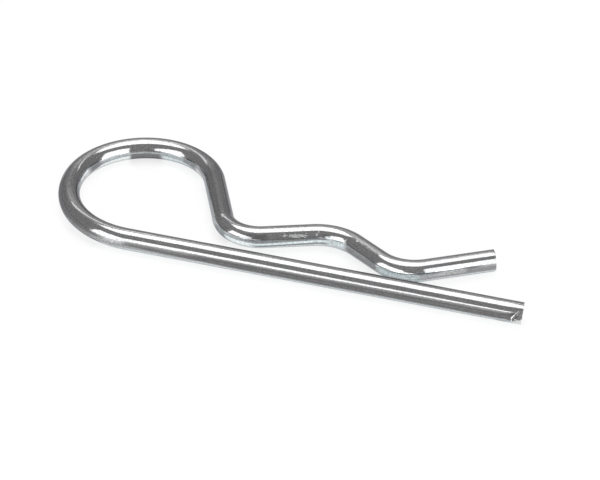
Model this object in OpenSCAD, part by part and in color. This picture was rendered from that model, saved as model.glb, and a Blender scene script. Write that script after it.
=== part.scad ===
// Hairpin clip, or R clip: one length of spring wire, bent flat.
// The straight leg goes through a cross hole in a shaft. The sprung leg rides over the outside
// of the shaft, which it then holds in its hump.
//
// The clip lies flat, as it comes to rest. X runs along the straight leg, towards its tip, and
// Y across, towards the sprung leg. The origin is under the middle of the clip's length and
// width, on the surface that it lies on.

/* [Wire] */
// Diameter of the wire
wire_d = 3.2; // [2:0.1:4]
// How much thinner the wire is in its bends, where it is drawn down
draw_down = 0.02; // [0.01:0.01:0.06]

/* [Straight leg] */
// Length of the leg, from the eye to the middle of its cut end
leg_l = 59.25; // [50:0.25:80]

/* [Eye] */
// Inside radius of the quarter bend that the straight leg runs into
entry_r = 12; // [10:0.25:15]
// Inside radius of the rest of the eye
eye_r = 9.25; // [7.5:0.25:11.5]
// Slope of the neck, where the wire comes back down out of the eye
neck_slope = 63.5; // [55:0.5:75]

/* [Sprung leg] */
// Inside radius of the bend at the throat
throat_r = 4; // [2.5:0.25:6]
// Clear gap between the legs at the throat
throat_gap = 3; // [1.5:0.25:4]
// Slope of the wire from the throat up to the crest of the hump
rise_slope = 22.5; // [18:0.5:32]
// Inside radius of the crest, where the hump sits on the shaft
crest_r = 5.75; // [3:0.25:8]
// Clear gap between the legs under the crest
crest_gap = 6.75; // [6:0.25:9]
// Slope of the wire from the crest down to the nip
fall_slope = 32; // [25:0.5:42]
// Inside radius of the bend at the nip
nip_r = 4.75; // [3:0.25:7]
// Clear gap between the legs at the nip, which the shaft forces open on its way in
nip_gap = 1.75; // [0.5:0.25:3]
// Slope of the flared tail that leads the shaft in
tail_slope = 32; // [20:0.5:45]
// Length of the straight part of the tail
tail_l = 10.5; // [6:0.5:14]

/* [Sheared ends] */
// Slant of the straight leg's cut, seen from above: its outer side is the longer
cut_slant = 9; // [0:0.5:20]
// Rake of the same cut, seen from the side: its upper edge is the longer
cut_rake = 6; // [0:0.5:15]
// How far up the leg the tear in its outer side reaches
tear_l = 1.1; // [0.5:0.05:2]
// How far across the cut end the tear reaches
tear_w = 0.7; // [0.4:0.05:1.2]
// Radius that the cutter rolled over the upper edge of the tail's end
tail_roll_r = 0.5; // [0.1:0.05:1]

/* [Hidden] */

$fn = 96;
zinc = [0.72, 0.74, 0.76];
left = 1;
right = -1;
spare_l = wire_d * 2;    // wire past a cut, for the cut to take off
lap = 0.05;              // how far a straight run laps over the drawn end of a bend

// Radii of the wire's own axis in each bend
entry_axis_r = entry_r + wire_d / 2;
eye_axis_r = eye_r + wire_d / 2;
throat_axis_r = throat_r + wire_d / 2;
crest_axis_r = crest_r + wire_d / 2;
nip_axis_r = nip_r + wire_d / 2;

// Heights of the wire's axis above the straight leg's axis
eye_end_y = entry_axis_r + eye_axis_r * cos(neck_slope);
throat_y = wire_d + throat_gap;
crest_y = wire_d + crest_gap;
nip_y = wire_d + nip_gap;

// Length of a sloping straight that climbs to a height between level bends, whose radii add up to r
function ramp_l(height, slope, r) = (height - r * (1 - cos(slope))) / sin(slope);

neck_l = ramp_l(eye_end_y - throat_y, neck_slope, throat_axis_r);
rise_l = ramp_l(crest_y - throat_y, rise_slope, throat_axis_r + crest_axis_r);
fall_l = ramp_l(crest_y - nip_y, fall_slope, crest_axis_r + nip_axis_r);

// Where the straight leg meets the eye
eye_x = (entry_axis_r + wire_d / 2 - leg_l) / 2;
eye_y = -(entry_axis_r + eye_axis_r) / 2;

// A straight length of wire along X, lapped over the ends of its neighbours, with what follows
module run(l) {
    translate([-lap, 0, 0])
        rotate([0, 90, 0])
            cylinder(d = wire_d, h = l + 2 * lap);
    translate([l, 0, 0])
        children();
}

// Wire bent through an angle to the left or the right of its path, with what follows
module bend(inside_r, angle, side) {
    r = inside_r + wire_d / 2;
    translate([0, side * r, 0]) {
        mirror([0, side == right ? 1 : 0, 0])
            rotate(-90)
                rotate_extrude(angle = angle)
                    translate([r, 0])
                        circle(d = wire_d - draw_down);
        rotate(side * angle)
            translate([0, -side * r, 0])
                children();
    }
}

// Everything past a plane through the origin that faces back along X
module past_plane(size) {
    translate([0, -size / 2, -size / 2])
        cube(size);
}

// What the cutter took off the straight leg's tip: all past a slightly slanted face, and a tear
// out of the outer corner
module leg_shear() {
    rotate([0, cut_rake, cut_slant])
        past_plane(3 * spare_l);
    translate([0, tear_w - wire_d / 2, 0])
        rotate(-atan2(tear_l, tear_w))
            past_plane(3 * spare_l);
}

module straight_leg() {
    difference() {
        run(leg_l + spare_l);
        translate([leg_l, 0, 0])
            leg_shear();
    }
}

// The tail, cut square, with the upper edge of its end rolled over
module tail() {
    difference() {
        run(tail_l - lap);
        translate([tail_l - tail_roll_r, 0, wire_d / 2 - tail_roll_r])
            rotate([90, 0, 0])
                difference() {
                    translate([0, 0, -wire_d])
                        cube([tail_roll_r * 2, tail_roll_r * 2, wire_d * 2]);
                    cylinder(r = tail_roll_r, h = wire_d * 3, center = true);
                }
    }
}

module r_clip() {
    color(zinc)
        translate([eye_x, eye_y, wire_d / 2]) {
            straight_leg();
            rotate(180)
                bend(entry_r, 90, right)
                bend(eye_r, 90, right)
                bend(eye_r, neck_slope, right)
                run(neck_l)
                bend(throat_r, neck_slope + rise_slope, left)
                run(rise_l)
                bend(crest_r, rise_slope + fall_slope, right)
                run(fall_l)
                bend(nip_r, fall_slope + tail_slope, left)
                tail();
        }
}

r_clip();
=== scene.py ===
import math
import bmesh
import bpy
from mathutils import Matrix, Vector, noise


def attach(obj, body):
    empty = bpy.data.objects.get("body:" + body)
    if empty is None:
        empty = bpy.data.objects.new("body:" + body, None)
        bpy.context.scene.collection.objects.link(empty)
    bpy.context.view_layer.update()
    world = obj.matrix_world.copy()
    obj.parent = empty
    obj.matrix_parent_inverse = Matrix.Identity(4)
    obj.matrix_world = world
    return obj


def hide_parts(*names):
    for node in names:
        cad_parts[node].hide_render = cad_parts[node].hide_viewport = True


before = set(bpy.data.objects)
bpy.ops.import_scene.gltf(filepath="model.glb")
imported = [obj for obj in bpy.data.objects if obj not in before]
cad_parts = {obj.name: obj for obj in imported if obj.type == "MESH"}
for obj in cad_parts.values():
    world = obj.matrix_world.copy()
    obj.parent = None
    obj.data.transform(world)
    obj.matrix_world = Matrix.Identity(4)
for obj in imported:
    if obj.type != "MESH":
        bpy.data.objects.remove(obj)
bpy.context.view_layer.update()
print("frame loaded:", list(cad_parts))

clip = {
    "wireRadius": 0.0016,
    "legLength": 0.05925,      # straight leg, from the eye to its cut end
    "entryRadius": 0.012,      # inside radii of the bends
    "eyeRadius": 0.00925,
    "throatRadius": 0.004,
    "crestRadius": 0.00575,
    "nipRadius": 0.00475,
    "throatGap": 0.003,        # clear gaps over the straight leg
    "crestGap": 0.00675,
    "nipGap": 0.00175,
    "neckSlope": 63.5,         # degrees
    "riseSlope": 22.5,
    "fallSlope": 32.0,
    "tailSlope": 32.0,
    "tailLength": 0.0105,
    "aroundWire": 72,          # vertices round the wire
    "alongWire": 0.0003,       # length of one step
    "cutSlant": 9.0,           # leg's cut end, in degrees seen from above
    "cutRake": 6.0,            # and seen from the side
    "cutSpare": 0.003,         # wire past that cut, and clear of rings behind it
    "tearLength": 0.0011,      # where the cutter tore the leg's outer side
    "tearWidth": 0.0007,
    "tearLean": 0.0002,        # how far the tear leans back going down, over a height of tearWidth
    "tearHollow": 0.0001,
    "tearRough": 0.000025,     # height of the roughness in the tear
    "faceRough": 0.000012,     # and on the two cut faces
    "roughPitch": 0.00022,
    "finerRough": (2.7, 0.5),  # a second roughness: how many times as fine, and its share
    "faceRings": 6,            # rings of faces inside each end
    "endCorners": 8,           # a face with more corners than this is a cut end
    "rimRound": 0.00006,
    "rimSteps": 2,
    "tailSlant": 6.5,          # tail's cut end, in degrees seen from above
    "tailTrim": 0.00003,       # how far that cut stays behind the last ring
    "tailRoll": 0.0005,        # radius rolled over the upper edge of the tail's end
    "rollSteps": 8,
}


def rampLength(height, slope, radii):
    # a sloping straight between two level bends
    angle = math.radians(slope)
    return (height - radii * (1 - math.cos(angle))) / math.sin(angle)


def ringEdges(verts):
    found = set(verts)
    touching = {e for v in found for e in v.link_edges}
    return [e for e in touching if found.issuperset(e.verts)]


class WirePen:
    # keeps the place and heading of the ring at the end of the wire
    def __init__(self, bm, start, heading, done):
        self.bm = bm
        self.at = Vector(start)
        self.heading = heading
        self.done = done
        self.coord = bm.verts.layers.float_vector.new("wireCoord")     # along the wire, across it and up
        turn = Matrix.Rotation(heading, 4, "Z") @ Matrix.Rotation(math.pi / 2, 4, "Y")
        self.ring = bmesh.ops.create_circle(
            bm, segments=clip["aroundWire"], radius=clip["wireRadius"],
            matrix=Matrix.Translation(self.at) @ turn,
        )["verts"]
        toLeft = self.leftward()
        for v in self.ring:
            v[self.coord] = (done, (v.co - self.at).dot(toLeft), v.co.z - self.at.z)

    def leftward(self):
        return Vector((-math.sin(self.heading), math.cos(self.heading), 0))

    def mark(self):
        for v in self.ring:
            across, up = v[self.coord][1:]
            v[self.coord] = (self.done, across, up)

    def run(self, length, step=clip["alongWire"]):
        steps = max(1, round(length / step))
        ahead = Vector((math.cos(self.heading), math.sin(self.heading), 0)) * length / steps
        for _ in range(steps):
            made = bmesh.ops.extrude_edge_only(self.bm, edges=ringEdges(self.ring))["geom"]
            self.ring = [g for g in made if isinstance(g, bmesh.types.BMVert)]
            bmesh.ops.translate(self.bm, verts=self.ring, vec=ahead)
            self.at += ahead
            self.done += length / steps
            self.mark()

    def bend(self, insideRadius, degrees, side):
        axisRadius = insideRadius + clip["wireRadius"]
        angle = math.radians(degrees)
        steps = max(2, round(angle * axisRadius / clip["alongWire"]))
        centre = self.at + self.leftward() * side * axisRadius
        for _ in range(steps):
            made = bmesh.ops.spin(
                self.bm, geom=self.ring + ringEdges(self.ring), cent=centre, axis=(0, 0, side),
                dvec=(0, 0, 0), angle=angle / steps, steps=1, use_merge=False, use_duplicate=False,
            )["geom_last"]
            self.ring = [g for g in made if isinstance(g, bmesh.types.BMVert)]
            self.heading += side * angle / steps
            self.done += angle * axisRadius / steps
            self.mark()
        self.at = centre - self.leftward() * side * axisRadius


def cutOff(bm, point, normal):
    # takes off the end past the plane and closes the wire there
    reach = 3 * clip["wireRadius"]
    near = {v for v in bm.verts if (v.co - point).length < reach}
    parts = list(near) + [p for p in bm.edges[:] + bm.faces[:] if near.issuperset(p.verts)]
    made = bmesh.ops.bisect_plane(
        bm, geom=parts, dist=1e-9, plane_co=point, plane_no=normal, clear_outer=True
    )["geom_cut"]
    bmesh.ops.edgeloop_fill(bm, edges=[g for g in made if isinstance(g, bmesh.types.BMEdge)])


def facing(bm, normal):
    # the cut end that looks along the normal
    ends = [f for f in bm.faces if len(f.verts) > clip["endCorners"]]
    return max(ends, key=lambda f: f.normal.dot(normal.normalized()))


def roughen(face, normal, hollow, rough):
    # rings of faces inside a flat end, dished and broken up
    normal = normal.normalized()
    middle = face.calc_center_median()
    rings = clip["faceRings"]
    inner = []
    for k in range(rings):
        bmesh.ops.inset_region(bm, faces=[face], thickness=0)
        smaller = (rings - k) / (rings + 1 - k)
        bmesh.ops.scale(bm, verts=face.verts, vec=(smaller,) * 3, space=Matrix.Translation(-middle))
        inner.append((list(face.verts), 1 - ((rings - k) / (rings + 1)) ** 2))
    finer, finerShare = clip["finerRough"]
    for verts, depth in inner:
        for v in verts:
            place = v.co / clip["roughPitch"]
            wander = noise.noise(place) + finerShare * noise.noise(place * finer)
            v.co += normal * (wander * rough - hollow * depth)


left = 1
right = -1
wireRadius = clip["wireRadius"]
entryAxis = clip["entryRadius"] + wireRadius
eyeAxis = clip["eyeRadius"] + wireRadius
throatAxis = clip["throatRadius"] + wireRadius
crestAxis = clip["crestRadius"] + wireRadius
nipAxis = clip["nipRadius"] + wireRadius
eyeEndY = entryAxis + eyeAxis * math.cos(math.radians(clip["neckSlope"]))
throatY, crestY, nipY = (2 * wireRadius + clip[gap] for gap in ("throatGap", "crestGap", "nipGap"))
eyeStart = Vector(((entryAxis + wireRadius - clip["legLength"]) / 2, -(entryAxis + eyeAxis) / 2, wireRadius))
legEnd = eyeStart + Vector((clip["legLength"], 0, 0))

bm = bmesh.new()
pen = WirePen(bm, legEnd + Vector((clip["cutSpare"], 0, 0)), math.pi, -clip["cutSpare"])
pen.run(2 * clip["cutSpare"], 2 * clip["cutSpare"])
pen.run(clip["legLength"] - clip["cutSpare"])
pen.bend(clip["entryRadius"], 90, right)
pen.bend(clip["eyeRadius"], 90 + clip["neckSlope"], right)
pen.run(rampLength(eyeEndY - throatY, clip["neckSlope"], throatAxis))
pen.bend(clip["throatRadius"], clip["neckSlope"] + clip["riseSlope"], left)
pen.run(rampLength(crestY - throatY, clip["riseSlope"], throatAxis + crestAxis))
pen.bend(clip["crestRadius"], clip["riseSlope"] + clip["fallSlope"], right)
pen.run(rampLength(crestY - nipY, clip["fallSlope"], crestAxis + nipAxis))
pen.bend(clip["nipRadius"], clip["fallSlope"] + clip["tailSlope"], left)
pen.run(clip["tailLength"] - clip["tailRoll"])
for k in range(clip["rollSteps"]):      # the cutter rolled the upper edge of the tail's end over
    before = math.radians(90 * k / clip["rollSteps"])
    after = math.radians(90 * (k + 1) / clip["rollSteps"])
    onward = clip["tailRoll"] * (math.sin(after) - math.sin(before))
    pen.run(onward, onward)
    highest = 2 * wireRadius - clip["tailRoll"] * (1 - math.cos(after))
    for v in pen.ring:
        v.co.z = min(v.co.z, highest)
print("wire drawn:", round(pen.done * 1000, 1), "mm")

tailTurn = pen.heading - math.radians(clip["tailSlant"])
tailNormal = Vector((math.cos(tailTurn), math.sin(tailTurn), 0))
slant = math.tan(math.radians(clip["cutSlant"]))
rake = math.tan(math.radians(clip["cutRake"]))
legNormal = Vector((1, slant, -rake))
tearNormal = Vector((clip["tearWidth"], -clip["tearLength"], -clip["tearLean"]))
tailBack = wireRadius * math.tan(math.radians(clip["tailSlant"])) + clip["tailTrim"]
cutOff(bm, pen.at - Vector((math.cos(pen.heading), math.sin(pen.heading), 0)) * tailBack, tailNormal)
cutOff(bm, legEnd, legNormal)
cutOff(bm, legEnd + Vector((0, clip["tearWidth"] - wireRadius, 0)), tearNormal)
for f in bm.faces:
    f.smooth = True
bmesh.ops.recalc_face_normals(bm, faces=bm.faces)
cutFaces = (
    (tailNormal, 0.0, clip["faceRough"]),
    (legNormal, 0.0, clip["faceRough"]),
    (tearNormal, clip["tearHollow"], clip["tearRough"]),
)
ends = [facing(bm, normal) for normal, _, _ in cutFaces]
for f in ends:
    f.material_index = 1
bmesh.ops.bevel(
    bm, geom=list({e for f in ends for e in f.edges}), offset=clip["rimRound"], offset_type="OFFSET",
    segments=clip["rimSteps"], profile=0.5, affect="EDGES", clamp_overlap=True, material=-1,
)
for normal, hollow, rough in cutFaces:
    roughen(facing(bm, normal), normal, hollow, rough)
bmesh.ops.recalc_face_normals(bm, faces=bm.faces)

mesh = bpy.data.meshes.new("wireClip")
bm.to_mesh(mesh)
bm.free()
wireClip = bpy.data.objects.new("wireClip", mesh)
bpy.context.scene.collection.objects.link(wireClip)
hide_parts("r_clip")
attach(wireClip, "root")
print("clip built:", len(mesh.polygons), "faces")


def newMaterial(name):
    material = bpy.data.materials.new(name)
    material.use_nodes = True
    return material, material.node_tree, material.node_tree.nodes["Principled BSDF"]


def feed(tree, socket, value):
    # a socket is linked, anything else is set
    if isinstance(value, bpy.types.NodeSocket):
        tree.links.new(value, socket)
    else:
        socket.default_value = value


def addNode(tree, kind, out=0, settings=(), **inputs):
    # inputs go by name, or as i0, i1 and so on where the names repeat
    node = tree.nodes.new("ShaderNode" + kind)
    for key, value in dict(settings).items():
        setattr(node, key, value)
    for key, value in inputs.items():
        socket = int(key[1:]) if key[1:].isdigit() else key.replace("_", " ")
        feed(tree, node.inputs[socket], value)
    return node.outputs[out]


def maths(tree, operation, first, second=0.0, third=0.0, clamp=False):
    settings = {"operation": operation, "use_clamp": clamp}
    return addNode(tree, "Math", 0, settings, i0=first, i1=second, i2=third)


def vectors(tree, operation, first, second):
    out = 1 if operation in ("LENGTH", "DOT_PRODUCT") else 0
    return addNode(tree, "VectorMath", out, {"operation": operation}, i0=first, i1=second)


def clouds(tree, vector, scale, detail, rough):
    return addNode(tree, "TexNoise", 0, Vector=vector, Scale=scale, Detail=detail, Roughness=rough)


def remap(tree, value, fromLow, fromHigh, toLow, toHigh, smooth=False):
    kind = {"interpolation_type": "SMOOTHSTEP" if smooth else "LINEAR", "clamp": True}
    return addNode(
        tree, "MapRange", 0, kind, Value=value,
        From_Min=fromLow, From_Max=fromHigh, To_Min=toLow, To_Max=toHigh)


def blendColour(tree, factor, first, second):
    node = tree.nodes.new("ShaderNodeMix")
    node.data_type = "RGBA"
    for name, value in (("Factor", factor), ("A", first), ("B", second)):
        feed(tree, next(s for s in node.inputs if s.name == name and s.enabled), value)
    return next(s for s in node.outputs if s.enabled)


def newGroup(name, inputs, outputs):
    group = bpy.data.node_groups.new(name, "ShaderNodeTree")
    for socket, kind in inputs.items():
        group.interface.new_socket(socket, in_out="INPUT", socket_type="NodeSocket" + kind)
    for socket, kind in outputs.items():
        group.interface.new_socket(socket, in_out="OUTPUT", socket_type="NodeSocket" + kind)
    return group, group.nodes.new("NodeGroupInput").outputs, group.nodes.new("NodeGroupOutput").inputs


def useGroup(tree, group, **inputs):
    node = tree.nodes.new("ShaderNodeGroup")
    node.node_tree = group
    for key, value in inputs.items():
        feed(tree, node.inputs[key], value)
    return node.outputs


skinLook = {
    # scale as a share of the finest, detail and roughness of each noise
    "Fleck": (1.0, 3, 0.7),
    "Cloud": (0.06, 3, 0.6),
    "Peel": (0.3, 0, 0.5),
}
rubLook = {
    "fade": (0.3, 1.3),        # thins out between these shares of the patch's half size
    "stroke": (2, 0.6),        # detail and roughness of the strokes
    "edge": (0.5, 0.58),       # levels between which a stroke comes in
}

# fine flecks and soft clouds of the metal's skin
grain, given, gives = newGroup(
    "metalGrain", {"Vector": "Vector", "Size": "Float"}, dict.fromkeys(skinLook, "Float"))
perMetre = maths(grain, "DIVIDE", 1.0, given["Size"])
for name, (share, detail, rough) in skinLook.items():
    scale = maths(grain, "MULTIPLY", perMetre, share)
    feed(grain, gives[name], clouds(grain, given["Vector"], scale, detail, rough))

# a broken patch of strokes round one place
rub, given, gives = newGroup(
    "rubPatch",
    {"Vector": "Vector", "Middle": "Vector", "Size": "Vector", "Stroke": "Vector", "Cover": "Float"},
    {"Mask": "Float"})
apart = vectors(rub, "DIVIDE", vectors(rub, "SUBTRACT", given["Vector"], given["Middle"]), given["Size"])
near = remap(rub, vectors(rub, "LENGTH", apart, (0, 0, 0)), *rubLook["fade"], 0, -1)
strokes = clouds(rub, vectors(rub, "DIVIDE", given["Vector"], given["Stroke"]), 1.0, *rubLook["stroke"])
level = maths(rub, "ADD", maths(rub, "ADD", strokes, near), given["Cover"])
feed(rub, gives["Mask"], remap(rub, level, *rubLook["edge"], 0, 1, True))

# one patch of painted reflection or painted shade between two places along the wire and two angles round it
patchEdges = ("Start", "End", "Low", "High", "Slant", "Fade", "Soft")
patch, given, gives = newGroup(
    "paintedReflectionPatch", dict.fromkeys(("Along", "Around", "Fray", *patchEdges), "Float"), {"Mask": "Float"})
past = maths(patch, "SUBTRACT", given["Along"], given["Start"])
toCome = maths(patch, "SUBTRACT", given["End"], given["Along"])
lengthwise = maths(patch, "DIVIDE", maths(patch, "MINIMUM", past, toCome), given["Fade"])
turned = maths(patch, "SUBTRACT", given["Around"], maths(patch, "MULTIPLY", past, given["Slant"]))
above = maths(patch, "SUBTRACT", turned, given["Low"])
below = maths(patch, "SUBTRACT", given["High"], turned)
widthwise = maths(patch, "DIVIDE", maths(patch, "MINIMUM", above, below), given["Soft"])
inside = maths(patch, "ADD", maths(patch, "MINIMUM", lengthwise, widthwise), given["Fray"])
feed(patch, gives["Mask"], remap(patch, inside, -0.5, 0.5, 0, 1, True))


def spot(tree, coat, place, degrees, halfLength, halfWidth, strokeLength, strokeWidth, cover):
    angle = math.radians(degrees)
    return useGroup(
        tree, rub, Vector=coat, Middle=(place, wireRadius * math.cos(angle), wireRadius * math.sin(angle)),
        Size=(halfLength, halfWidth, halfWidth), Stroke=(strokeLength, strokeWidth, strokeWidth), Cover=cover,
    )["Mask"]


zincLook = {
    "coatColour": (0.395, 0.40, 0.405, 1),
    "paintedFloorReflection": (0.77, 0.81, 0.82, 1),      # painted reflection of the pale floor on the underside
    "floorReflectionFrom": (99, 123),                    # degrees round from the top
    "fray": 0.5,                              # how ragged the patches' edges are
    # patches of painted reflection and painted shade, darker and paler, that stand in for the lamps, room and
    # floor mirrored in the wire and for shade near the floor:
    # mm along the wire from and to, degrees round it from and to, degrees they lean by each mm, softness of
    # the ends and of the sides, and colour
    "paintedReflectionsFirst": (
        (-4, 80, 84, 104, 0, 4, 8, (0.49, 0.49, 0.493, 1)),
        (78, 102.5, 80, 98, 0, 4, 9, (0.54, 0.54, 0.543, 1)),
        (126, 170, 80, 97, 0, 3, 9, (0.55, 0.55, 0.553, 1)),
        (142.3, 149.2, 91, 105, 0, 2.5, 7, (0.74, 0.735, 0.735, 1)),
        (62, 80.5, -90, 20, 1.9, 4, 9, (0.27, 0.27, 0.275, 1)),
        (-4, 60, -90, 29.2, -0.085, 4, 6.5, (0.158, 0.158, 0.16, 1)),
        (-4, 48, 9, 27.5, -0.1, 5, 6, (0.105, 0.105, 0.107, 1)),
        (44, 64, -90, -15, 0.9, 5, 8, (0.36, 0.365, 0.37, 1)),
        (59.5, 64, -40, 21, 0, 1.5, 9, (0.38, 0.385, 0.39, 1)),
        (62.5, 71.5, 2, 20.5, 1.2, 2.5, 9, (0.165, 0.165, 0.167, 1)),
        (70, 77, 12, 29.5, 2.65, 2.5, 9, (0.17, 0.17, 0.173, 1)),
        (97.5, 105, 20, 71, -0.8, 2.5, 10, (0.15, 0.15, 0.153, 1)),
        (104.5, 109.5, 20, 65, -2.6, 1.5, 10, (0.22, 0.22, 0.225, 1)),
        (74, 80.5, 66, 112, 1.0, 3, 12, (0.35, 0.353, 0.357, 1)),
        (108, 121.5, 66, 118, 0, 3, 12, (0.31, 0.313, 0.317, 1)),
        (109, 123.5, 36, 53, 0.3, 2, 8, (0.27, 0.27, 0.275, 1)),
    ),
    # more patches of painted reflection and painted shade, laid over the painted floor reflection on the
    # underside
    "paintedReflectionsLast": (
        (0.3, 1.27, 37, 50, -46, 0.12, 5, (0.90, 0.92, 0.92, 1)),
        (0.9, 1.27, -50, -34, 100, 0.12, 5, (0.90, 0.92, 0.92, 1)),
        (1.9, 3.4, -34, -12, -6, 0.5, 8, (0.48, 0.51, 0.52, 1)),
        (63, 70, -60, -15, 2.0, 2, 8, (0.40, 0.41, 0.415, 1)),
        (59, 70.5, 110, 180, 0.9, 3, 7, (0.19, 0.19, 0.195, 1)),
        (69.5, 76, 120, 150, 2.2, 2, 7, (0.34, 0.34, 0.345, 1)),
        (-4, 61, 121, 210, 0, 3, 12, (0.81, 0.83, 0.835, 1)),
        (12.5, 23.7, 97, 118, 0, 2.4, 8, (0.24, 0.243, 0.247, 1)),
        (39.0, 43.7, 99, 118, 0, 1.6, 8, (0.26, 0.263, 0.267, 1)),
        (75, 82.6, 160, 270, 0, 3, 12, (0.68, 0.71, 0.72, 1)),
        (76.5, 83, 181, 270, 0, 2.5, 12, (0.97, 0.98, 0.98, 1)),
        (78.7, 82, 160, 171, 0, 1, 6, (0.90, 0.93, 0.93, 1)),
        (82.4, 86, 156, 196, 0, 2, 8, (0.24, 0.25, 0.255, 1)),
        (82.6, 86, 197, 270, 0, 2, 8, (0.88, 0.93, 0.94, 1)),
        (85.6, 91.3, 157, 169, 0, 1, 4, (0.98, 0.98, 0.98, 1)),
        (86, 91.3, 169, 191, 0, 1.5, 7, (0.36, 0.395, 0.41, 1)),
        (85.5, 91.5, 191, 270, 0, 1.5, 8, (0.93, 0.98, 0.98, 1)),
        (91.5, 97.2, 166, 270, 0, 0.8, 4, (0.20, 0.202, 0.205, 1)),
        (91, 97.4, 171, 179, 0, 0.8, 4, (0.42, 0.44, 0.45, 1)),
        (97.2, 101.8, 167, 187, 0, 1.5, 7, (0.34, 0.38, 0.395, 1)),
        (97.3, 101, 157, 166, 0, 1, 4, (0.98, 0.98, 0.98, 1)),
        (97.2, 103, 188, 270, 0, 1.5, 8, (0.70, 0.77, 0.79, 1)),
        (101.6, 105.2, 157, 190, 0, 1.5, 8, (0.26, 0.27, 0.275, 1)),
        (102.5, 105.2, 192, 270, 0, 1.5, 10, (0.66, 0.73, 0.75, 1)),
        (105, 109, 176, 270, 0, 1.5, 12, (0.98, 0.99, 0.99, 1)),
        (108.5, 121.3, 158, 270, 0, 1.5, 11, (0.60, 0.64, 0.66, 1)),
        (121.3, 123.8, 160, 270, 0, 1, 9, (0.34, 0.36, 0.37, 1)),
        (123.4, 126.4, 157, 167, 0, 0.8, 4, (0.80, 0.82, 0.82, 1)),
        (123.6, 126.4, 168, 179, 0, 1, 5, (0.42, 0.45, 0.46, 1)),
        (123.4, 127, 180, 270, 0, 1, 6, (0.86, 0.95, 0.97, 1)),
        (126.3, 128.6, 133, 162, 0, 1, 8, (0.27, 0.272, 0.275, 1)),
        (137.3, 138.6, 142, 162, 0, 0.5, 5, (0.18, 0.182, 0.185, 1)),
        (126.5, 138, 168, 182, -0.5, 1.5, 4, (0.30, 0.305, 0.31, 1)),
        (126.5, 141, 185, 199, -1.1, 1.5, 5, (0.72, 0.82, 0.84, 1)),
        (127, 138, 199, 211, -1.1, 1.5, 5, (0.28, 0.29, 0.295, 1)),
        (138, 142, 156, 200, 0, 1.2, 6, (0.60, 0.66, 0.68, 1)),
        (142, 149, 163, 196, 0, 1.5, 8, (0.25, 0.26, 0.265, 1)),
        (148.6, 151.8, 151, 168, 0, 0.8, 4, (0.98, 0.98, 0.98, 1)),
        (149, 154.5, 164, 270, 0, 1.5, 6, (0.53, 0.60, 0.62, 1)),
        (151.8, 154.5, 155, 174, 0, 0.8, 6, (0.70, 0.72, 0.73, 1)),
        (149, 154.5, 194, 200, 0, 1.5, 4, (0.38, 0.39, 0.395, 1)),
        (154.3, 160, 157, 164, -0.5, 1.5, 4, (0.80, 0.82, 0.82, 1)),
        (154, 161, 165, 191, 0, 1.5, 6, (0.39, 0.395, 0.40, 1)),
        (154, 162, 163, 171, 0, 1.5, 5, (0.60, 0.61, 0.62, 1)),
        (153.7, 157, 148, 172, 4, 0.8, 6, (0.42, 0.44, 0.45, 1)),
        (160.5, 170, 159, 191, 0, 1.5, 5, (0.26, 0.262, 0.265, 1)),
        (154, 168, 191, 199, 0, 1.5, 4, (0.30, 0.305, 0.31, 1)),
    ),
    "rubbedColour": (0.53, 0.54, 0.54, 1),
    "fleckShare": 0.55,                       # how far flecks darken and lighten the coat
    "fleckRange": (0.33, 0.87),
    "lineShare": 0.2,                         # drawing lines among the flecks
    "roughness": (0.08, 0.15),
    "roughnessFrom": (0.5, 1.0),
    "fleckDulling": 0.5,
    "rubbedRoughness": 0.42,
    "grainSize": 0.00017,
    "lineSize": (0.0045, 0.00013),            # drawing lines, along and across
    "lineNoise": (1, 0.5),                    # their detail and roughness
    "lineRelief": 0.6,
    "edgeTint": (0.5, 0.5, 0.52, 1),
    "relief": 0.0000034,
    "rubbedRelief": 0.000007,
    # place along the wire and degrees round it, half length and half width, stroke length and width, cover
    "marks": (
        (0.1331, 147, 0.0044, 0.0006, 0.0005, 0.00015, 0.11),
        (0.1313, 141, 0.0005, 0.0006, 0.00022, 0.00022, 0.10),
        (0.1361, 143, 0.0002, 0.0004, 0.0003, 0.0004, 0.26),
        (0.1364, 130, 0.00025, 0.00035, 0.0003, 0.0004, 0.30),
        (0.1418, 158, 0.0004, 0.0003, 0.0003, 0.0003, 0.26),
        (0.1416, 150, 0.0005, 0.0008, 0.00035, 0.00035, 0.20),
        (0.1390, 172, 0.0007, 0.0011, 0.0002, 0.0004, 0.16),
        (0.0614, 4, 0.0022, 0.0009, 0.0009, 0.00010, -0.02),
        (0.1590, 178, 0.0070, 0.0008, 0.00024, 0.00018, -0.04),
        (0.1435, 111, 0.0003, 0.0003, 0.0003, 0.0003, 0.26),
    ),
}

zinc, tree, shader = newMaterial("brightZinc")
coat = addNode(tree, "Attribute", "Vector", {"attribute_name": "wireCoord"})
skin = useGroup(tree, grain, Vector=coat, Size=zincLook["grainSize"])
lineLength, lineWidth = zincLook["lineSize"]
stretched = vectors(tree, "DIVIDE", coat, (lineLength, lineWidth, lineWidth))
lines = clouds(tree, stretched, 1.0, *zincLook["lineNoise"])
rubbed = 0.0
for mark in zincLook["marks"]:
    rubbed = maths(tree, "MAXIMUM", spot(tree, coat, *mark), rubbed)
sides = addNode(tree, "SeparateXYZ", 0, Vector=coat).node.outputs
fromTop = maths(tree, "DEGREES", maths(tree, "ARCTAN2", sides["Y"], sides["Z"]))
coatPlace = {
    "Along": maths(tree, "MULTIPLY", sides["X"], 1000),       # in mm
    "Around": maths(tree, "SUBTRACT", 90, fromTop),           # degrees from the wire's left side over its top
    "Fray": maths(tree, "MULTIPLY", maths(tree, "SUBTRACT", skin["Cloud"], 0.5), zincLook["fray"]),
}


# lays patches of painted reflection and painted shade over a colour, one after another
def layPaintedReflections(tint, coats):
    for *where, colour in coats:
        edges = dict(zip(patchEdges, where))
        tint = blendColour(tree, useGroup(tree, patch, **coatPlace, **edges)["Mask"], tint, colour)
    return tint


# painted reflection of the pale floor over the underside, then more painted reflections and painted shade on
# top
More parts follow.
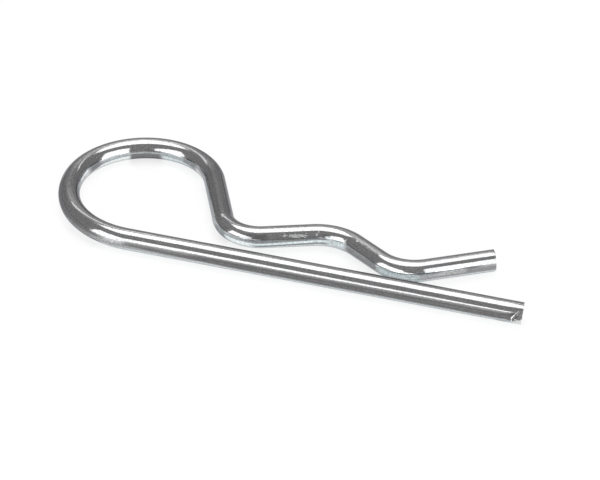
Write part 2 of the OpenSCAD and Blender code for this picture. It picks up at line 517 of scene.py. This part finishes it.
floorReflectionMask = remap(tree, maths(tree, "ABSOLUTE", fromTop), *zincLook["floorReflectionFrom"], 0, 1, True)
# painted reflections and painted shade over the zinc colour
tint = layPaintedReflections(zincLook["coatColour"], zincLook["paintedReflectionsFirst"])
tint = layPaintedReflections(blendColour(tree, floorReflectionMask, tint, zincLook["paintedFloorReflection"]), zincLook["paintedReflectionsLast"])
share = zincLook["fleckShare"]
flecks = maths(tree, "MULTIPLY_ADD", lines, zincLook["lineShare"], skin["Fleck"])
flecks = remap(tree, flecks, *zincLook["fleckRange"], 1 - share, 1 + share)
tint = addNode(tree, "VectorMath", 0, {"operation": "SCALE"}, i0=tint, Scale=flecks)
feed(tree, shader.inputs["Base Color"], blendColour(tree, rubbed, tint, zincLook["rubbedColour"]))
dulled = maths(tree, "MULTIPLY_ADD", skin["Fleck"], zincLook["fleckDulling"], skin["Cloud"])
plain = remap(tree, dulled, *zincLook["roughnessFrom"], *zincLook["roughness"])
rougher = zincLook["rubbedRoughness"] - zincLook["roughness"][1]
feed(tree, shader.inputs["Roughness"], maths(tree, "MULTIPLY_ADD", rubbed, rougher, plain))
relief = maths(tree, "MULTIPLY_ADD", lines, zincLook["lineRelief"], skin["Peel"])
bump = addNode(tree, "Bump", "Normal", Strength=1.0, Distance=zincLook["relief"], Height=relief)
bump = addNode(
    tree, "Bump", "Normal", {"invert": True}, Strength=1.0, Distance=zincLook["rubbedRelief"], Height=rubbed,
    Normal=bump)
feed(tree, shader.inputs["Normal"], bump)
shader.inputs["Metallic"].default_value = 1.0
shader.inputs["Specular Tint"].default_value = zincLook["edgeTint"]

shearLook = {
    "darkColour": (0.16, 0.16, 0.165, 1),
    "brightColour": (0.72, 0.72, 0.72, 1),
    "brightFrom": (0.52, 0.62),
    "paleFoot": (0.0012, 0.0005, 0.3),      # brighter between these heights and down, and by how much
    "roughness": (0.55, 0.25),
    "roughnessFrom": (0.4, 0.6),
    "grainSize": 0.00012,
    "streak": (0.0006, 0.00012, 0.0009),
    "streakNoise": (2, 0.6),                # its detail and roughness
    "relief": 0.00003,
}
sheared, tree, shader = newMaterial("shearedSteel")
place = addNode(tree, "TexCoord", "Object")
skin = useGroup(tree, grain, Vector=place, Size=shearLook["grainSize"])
streaks = clouds(tree, vectors(tree, "DIVIDE", place, shearLook["streak"]), 1.0, *shearLook["streakNoise"])
both = maths(tree, "MULTIPLY", maths(tree, "ADD", streaks, skin["Fleck"]), 0.5)
upper, lower, lift = shearLook["paleFoot"]
height = addNode(tree, "SeparateXYZ", "Z", Vector=place)
# lighter where streaks and flecks run high, and more towards the bottom of the cut face
brightShare = maths(tree, "ADD", both, remap(tree, height, upper, lower, 0, lift))
brightShare = remap(tree, brightShare, *shearLook["brightFrom"], 0, 1)
tint = blendColour(tree, brightShare, shearLook["darkColour"], shearLook["brightColour"])
feed(tree, shader.inputs["Base Color"], tint)
plain = remap(tree, both, *shearLook["roughnessFrom"], *shearLook["roughness"])
feed(tree, shader.inputs["Roughness"], plain)
bump = addNode(tree, "Bump", "Normal", Strength=1.0, Distance=shearLook["relief"], Height=both)
feed(tree, shader.inputs["Normal"], bump)
shader.inputs["Metallic"].default_value = 1.0
mesh.materials.append(zinc)
mesh.materials.append(sheared)
print("finishes made")

studio = {
    "floorRadius": 1.5,
    "floorSides": 96,
    "floorColour": (0.93, 0.93, 0.93, 1),
    "floorRoughness": 0.35,
    "floorGlow": 0.7,          # share of the floor's white that is its own, to the eye and to metal
    "roomColour": (0.35, 0.343, 0.345, 1),
    "roomBack": -0.10,         # how much darker the room is to the back
    "roomTop": 0.22,           # and lighter overhead
    # paler parts of the room: which way, how much and how far from there, as cosines
    "glows": (
        ((-0.30, 0.876, 0.375), 0.45, (0.83, 0.99)),
        ((-0.302, 0.568, 0.766), 0.55, (0.935, 0.992)),
    ),
    # shape, azimuth, distance and height of the middle, yaw, tilt (90 faces down) and roll,
    # width and height of the lamp, brightness
    "lamps": {
        "topLamp": ("ELLIPSE", 115.5, 0.196, 0.7755, 0, 75.8, 0, 0.729, 0.696, 2.4),
        "leftLamp": ("RECTANGLE", 246.6, 0.879, 0.295, -30.4, 0, 0, 0.99, 0.59, 2.4),
        "rightLamp": ("RECTANGLE", -21.5, 0.36, 0.18, 0, 0, 0, 0.36, 0.355, 2.4),
        "backStrip": ("RECTANGLE", 86.0, 0.5917, 0.5384, 0, 42.3, 38.0, 0.317, 0.056, 1.6),
        "nearStrip": ("RECTANGLE", 131.0, 0.17, 0.14, 0, 39.0, -12.3, 0.09, 0.0135, 1.6),
    },
}

bm = bmesh.new()
bmesh.ops.create_circle(bm, cap_ends=True, segments=studio["floorSides"], radius=studio["floorRadius"])
floorMesh = bpy.data.meshes.new("floor")
bm.to_mesh(floorMesh)
bm.free()
floor = bpy.data.objects.new("floor", floorMesh)
bpy.context.scene.collection.objects.link(floor)
paper, tree, shader = newMaterial("palePaper")
rays = tree.nodes.new("ShaderNodeLightPath").outputs
mirrored = maths(tree, "ADD", rays["Is Glossy Ray"], rays["Is Transmission Ray"])
seen = maths(tree, "ADD", rays["Is Camera Ray"], mirrored, clamp=True)
glow = maths(tree, "MULTIPLY", seen, studio["floorGlow"])
feed(tree, shader.inputs["Base Color"], blendColour(tree, glow, studio["floorColour"], (0, 0, 0, 1)))
feed(tree, shader.inputs["Emission Strength"], glow)
shader.inputs["Emission Color"].default_value = (1, 1, 1, 1)
shader.inputs["Roughness"].default_value = studio["floorRoughness"]
floorMesh.materials.append(paper)

world = bpy.data.worlds.new("room")
world.use_nodes = True
tree = world.node_tree
skyward = addNode(tree, "TexCoord", "Generated")
axes = addNode(tree, "SeparateXYZ", 0, Vector=skyward).node.outputs
strength = maths(tree, "MULTIPLY_ADD", axes["Y"], studio["roomBack"], 1.0)
strength = maths(tree, "MULTIPLY_ADD", axes["Z"], studio["roomTop"], strength)
for way, paler, reach in studio["glows"]:
    near = vectors(tree, "DOT_PRODUCT", skyward, way)
    strength = maths(tree, "ADD", strength, remap(tree, near, *reach, 0, paler, True))
tree.nodes["Background"].inputs["Color"].default_value = studio["roomColour"]
feed(tree, tree.nodes["Background"].inputs["Strength"], strength)
bpy.context.scene.world = world

for name, lampLook in studio["lamps"].items():
    shape, azimuth, distance, height, yaw, tilt, roll, lampWidth, lampHeight, brightness = lampLook
    around = math.radians(azimuth)
    heading = math.radians(azimuth + yaw)
    lean = math.radians(tilt)
    spin = math.radians(roll)
    level = Vector((math.cos(heading), math.sin(heading), 0))
    away = level * math.cos(lean) + Vector((0, 0, math.sin(lean)))
    across = Vector((-math.sin(heading), math.cos(heading), 0))
    across = across * math.cos(spin) + away.cross(across) * math.sin(spin)
    light = bpy.data.lights.new(name, "AREA")
    light.shape = shape
    light.size = lampWidth
    light.size_y = lampHeight
    area = lampWidth * lampHeight * (math.pi / 4 if shape == "ELLIPSE" else 1)
    light.energy = brightness * math.pi * area
    lamp = bpy.data.objects.new(name, light)
    place = Vector((math.cos(around) * distance, math.sin(around) * distance, height))
    turned = Matrix((across, away.cross(across), away)).transposed().to_4x4()
    lamp.matrix_world = Matrix.Translation(place) @ turned
    lamp.visible_camera = False
    bpy.context.scene.collection.objects.link(lamp)

view = {
    "azimuth": 18.046,
    "elevation": 34.58,
    "distance": 0.39315,
    "lens": 162.0,
    "sensor": 36.0,
    "nearest": 0.01,
    "aim": (0.023974, 0.007574, 0.0),      # from where the eye starts
}
azimuth = math.radians(view["azimuth"])
elevation = math.radians(view["elevation"])
level = Vector((math.sin(azimuth), -math.cos(azimuth), 0))
back = level * math.cos(elevation) + Vector((0, 0, math.sin(elevation)))
cameraData = bpy.data.cameras.new("camera")
cameraData.lens = view["lens"]
cameraData.sensor_width = view["sensor"]
cameraData.clip_start = view["nearest"]
camera = bpy.data.objects.new("camera", cameraData)
camera.location = eyeStart + Vector(view["aim"]) + back * view["distance"]
camera.rotation_euler = back.to_track_quat("Z", "Y").to_euler()
bpy.context.scene.collection.objects.link(camera)
bpy.context.scene.camera = camera
bpy.context.scene.view_settings.view_transform = "Standard"
print("floor, lamps and camera placed")
